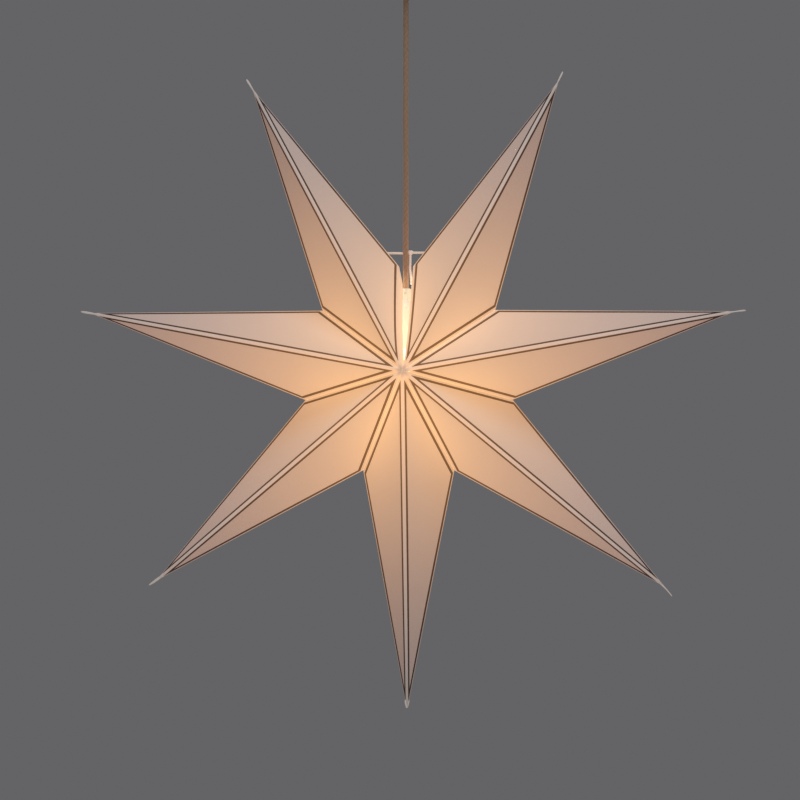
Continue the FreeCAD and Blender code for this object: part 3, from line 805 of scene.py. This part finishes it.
# The right length runs from its knot inside the arm, round the back of the cord, to its left;
# the left length runs on from there. One free end hangs from the knot beside the cord.
def makeTie():
    zr, zl = starCentre[2] + tie["right"], starCentre[2] + tie["left"]
    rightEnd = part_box("tie_string_right")[1].x - tie["stopIn"]
    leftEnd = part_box("tie_string_left")[0].x + tie["stopIn"]
    radius = tie["loop"]
    a = np.linspace(0, np.pi, 40)
    loop = np.stack([radius * np.cos(a), radius * np.sin(a), zr + (zl - zr) * a / np.pi], 1)
    right = [(rightEnd, 0, zr - 0.3 * mm), ((rightEnd + 4 * mm) / 2, -0.2 * mm, zr - 0.1 * mm)]
    left = [(-radius, -0.6 * mm, zl), (-radius - 4 * mm, -0.4 * mm, zl + 0.1 * mm),
            (leftEnd, 0, zl + 0.3 * mm)]
    knot = (tie["knotX"], -0.2 * mm, zr)
    pieces = [("tie_right_length", np.concatenate([right, loop]), "arm_upper_right", ["tie_string_right"]),
              ("tie_left_length", np.array(left), "arm_upper_left", ["tie_string_left"]),
              ("tie_knot", knotLine(knot, tie["knotSize"]), "arm_upper_right", []),
              ("tie_stop_right", knotLine((rightEnd, 0, zr), tie["stopSize"]), "arm_upper_right", []),
              ("tie_stop_left", knotLine((leftEnd, 0, zl), tie["stopSize"]), "arm_upper_left", [])]
    x, top = tie["freeX"], zr - tie["freeTop"]
    # route of the free end, in metres
    route = [(x, 0, top), (x + 0.0002, -0.0004, top - 0.007), (x - 0.0003, -0.0006, top - 0.014),
             (x + 0.0004, -0.0004, top - 0.021), (x + 0.0010, 0, top - 0.028),
             (x + 0.0007, 0, top - tie["freeLength"])]
    pieces.append(("tie_end", lineOfNurbs(route), "arm_upper_right", ["tie_free_end"]))
    for name, line, armName, hidden in pieces:
        obj, path = twistedString(name, line, stringLook)
        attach(obj, arms[armName]["body"])
        if hidden:
            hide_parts(*hidden)
        squashWith(obj)


makeTie()
print("tie string made")


# finishes of the ceiling fitting, lampholder and bulb
plainFinishes = {
    # slot: colour, roughness, metallic, grain scale, grain tone, cloud tone, bump
    "cup_paint": ((0.84, 0.83, 0.80), 0.42, 0.0, 1500.0, 0.03, 0.03, 0.00006),
    "white_plastic": ((0.88, 0.87, 0.83), 0.36, 0.0, 2600.0, 0.02, 0.03, 0.00002),
    "clear_plastic": ((0.78, 0.77, 0.70), 0.45, 0.0, 2000.0, 0.04, 0.08, 0.00003),
    "zinc_steel": ((0.56, 0.57, 0.57), 0.34, 1.0, 1800.0, 0.18, 0.20, 0.00003),
    "brass_parts": ((0.72, 0.52, 0.22), 0.30, 1.0, 1500.0, 0.12, 0.16, 0.00003),
    "nickel_cap": ((0.66, 0.64, 0.60), 0.26, 1.0, 1500.0, 0.10, 0.14, 0.00003),
    "black_insulator": ((0.012, 0.012, 0.016), 0.18, 0.0, 1200.0, 0.20, 0.20, 0.00002),
    "core_brown": ((0.10, 0.045, 0.02), 0.4, 0.0, 1500.0, 0.08, 0.08, 0.00002),
    "core_blue": ((0.02, 0.08, 0.30), 0.4, 0.0, 1500.0, 0.08, 0.08, 0.00002),
}
cloudScale = 120.0
# what the grain adds to a finish's roughness, at its lowest and at its highest
roughSpread = (-0.06, 0.08)
# the lampholder's white plastic, lit by the bulb below it
litPlastic = dict(lit=(1.0, 0.66, 0.34), strength=0.16, reach=0.035, fullWithin=0.05)
bulbLook = dict(glass=(1.0, 0.98, 0.94), glow=(1.0, 0.74, 0.42), glowStrength=0.35, smudgeScale=90.0,
                filament=(0.9, 0.7, 0.35), filamentDim=(1.0, 0.52, 0.18), filamentHot=(1.0, 0.72, 0.36),
                filamentStrength=12.0, coilScale=500.0)


# One procedural finish for each material slot of the carried-over pieces.
def makeFinishes():
    made = {"textile_cord": copperBraid}
    for slot, (colour, rough, metal, scale, fibre, cloud, bump) in plainFinishes.items():
        material, m, shader = newMaterial(slot, colour, rough, metal)
        grain, _ = grainOn(m, shader, colour, scale, fibre, cloud, bump, cloudScale)
        smooth, dull = rough + roughSpread[0], rough + roughSpread[1]
        m.put(m.range(grain["Height"], -0.3, 0.3, smooth, dull, "LINEAR"), shader.inputs["Roughness"])
        if slot == "white_plastic":
            glow = glowOf(m, litPlastic["strength"], litPlastic["reach"], litPlastic["fullWithin"])
            emitOn(m, shader, litPlastic["lit"], glow["Glow"])
        made[slot] = material

    look = bulbLook
    material, m, shader = newMaterial("bulb_glass", look["glass"], 0.02, IOR=1.47,
                                      **{"Transmission Weight": 1.0})
    shader.inputs["Emission Color"].default_value = (*look["glow"], 1)
    shader.inputs["Emission Strength"].default_value = look["glowStrength"]
    smudge = m.noise(m.place(), look["smudgeScale"], 2.0)
    m.put(m.range(smudge, 0.3, 0.7, 0.01, 0.05, "LINEAR"), shader.inputs["Roughness"])
    made["bulb_glass"] = material

    material, m, shader = newMaterial("filament", look["filament"], 0.5)
    band = m.add("ShaderNodeTexWave", {"Vector": m.place(), "Scale": look["coilScale"], "Distortion": 0.6},
                 bands_direction="Z")
    hot = m.mix(band.outputs["Fac"], (*look["filamentDim"], 1), (*look["filamentHot"], 1))
    m.put(hot, shader.inputs["Emission Color"])
    shader.inputs["Emission Strength"].default_value = look["filamentStrength"]
    made["filament"] = material
    return made


finishes = makeFinishes()
for sub in frame["record"]["subparts"]:
    obj = nodes[sub["node"]]
    if not obj.hide_render:
        obj.data.materials.clear()
        obj.data.materials.append(finishes[sub["material_slot"]])
print("finishes on", len(nodes), "carried-over pieces")


# studio lights in front above and behind, the lamp's own light, and the floor
lightSetup = dict(world=(0.127, 0.127, 0.133), softDistance=3.2, softSize=1.6, softColour=(0.85, 0.93, 1.0),
                  keyFrom=(0.15, -0.45, 0.88), keyPower=27.5, fillFrom=(-0.5, 0.85, 0.12), fillPower=11.0,
                  lampPower=0.16, lampRadius=25 * mm, lampColour=(1.0, 0.60, 0.31), lampHeight=-8.5 * mm)
floorLook = dict(radius=3.0, drop=0.95, rings=24, sides=96, colour=(0.85, 0.84, 0.82), roughness=0.7,
                 grain=(300.0, 0.04, 0.03, 0.0001, 6.0))


def makeLights(setup):
    scene = bpy.context.scene
    world = bpy.data.worlds.new("studio")
    world.use_nodes = True
    world.node_tree.nodes["Background"].inputs[0].default_value = (*setup["world"], 1)
    scene.world = world
    scene.view_settings.view_transform = "Standard"

    for name in ("key", "fill"):
        soft = bpy.data.lights.new(name, "AREA")
        soft.shape = "DISK"
        soft.size = setup["softSize"]
        soft.energy = setup[name + "Power"]
        soft.color = setup["softColour"]
        softObject = bpy.data.objects.new(name, soft)
        direction = Vector(setup[name + "From"]).normalized()
        softObject.location = Vector(starCentre) + direction * setup["softDistance"]
        softObject.rotation_mode = "QUATERNION"
        softObject.rotation_quaternion = (-direction).to_track_quat("-Z", "Y")
        scene.collection.objects.link(softObject)

    lamp = bpy.data.lights.new("lamp", "POINT")
    lamp.energy = setup["lampPower"]
    lamp.color = setup["lampColour"]
    lamp.shadow_soft_size = setup["lampRadius"]
    lampObject = bpy.data.objects.new("lamp", lamp)
    lampObject.location = (0, 0, starCentre[2] + setup["lampHeight"])
    lampObject.visible_camera = False
    scene.collection.objects.link(lampObject)


# Round pale floor below the star, well under the camera's view: rings of quads and a middle face.
def makeFloor(look):
    rings, sides = look["rings"], look["sides"]
    ring = np.linspace(0, 2 * np.pi, sides, endpoint=False)
    r = np.linspace(0.02, look["radius"], rings)[:, None]
    height = np.full((rings, sides), starCentre[2] - look["drop"])
    points = np.stack([r * np.cos(ring), r * np.sin(ring), height], -1)
    faces = [tuple(f) for f in gridFaces(rings, sides)[:, ::-1]] + [tuple(range(sides))]
    material, m, shader = newMaterial("paleFloor", look["colour"], look["roughness"])
    grainOn(m, shader, look["colour"], *look["grain"])
    meshFrom("floor", points, faces, [material])


makeLights(lightSetup)
makeFloor(floorLook)
print("lights and floor placed")
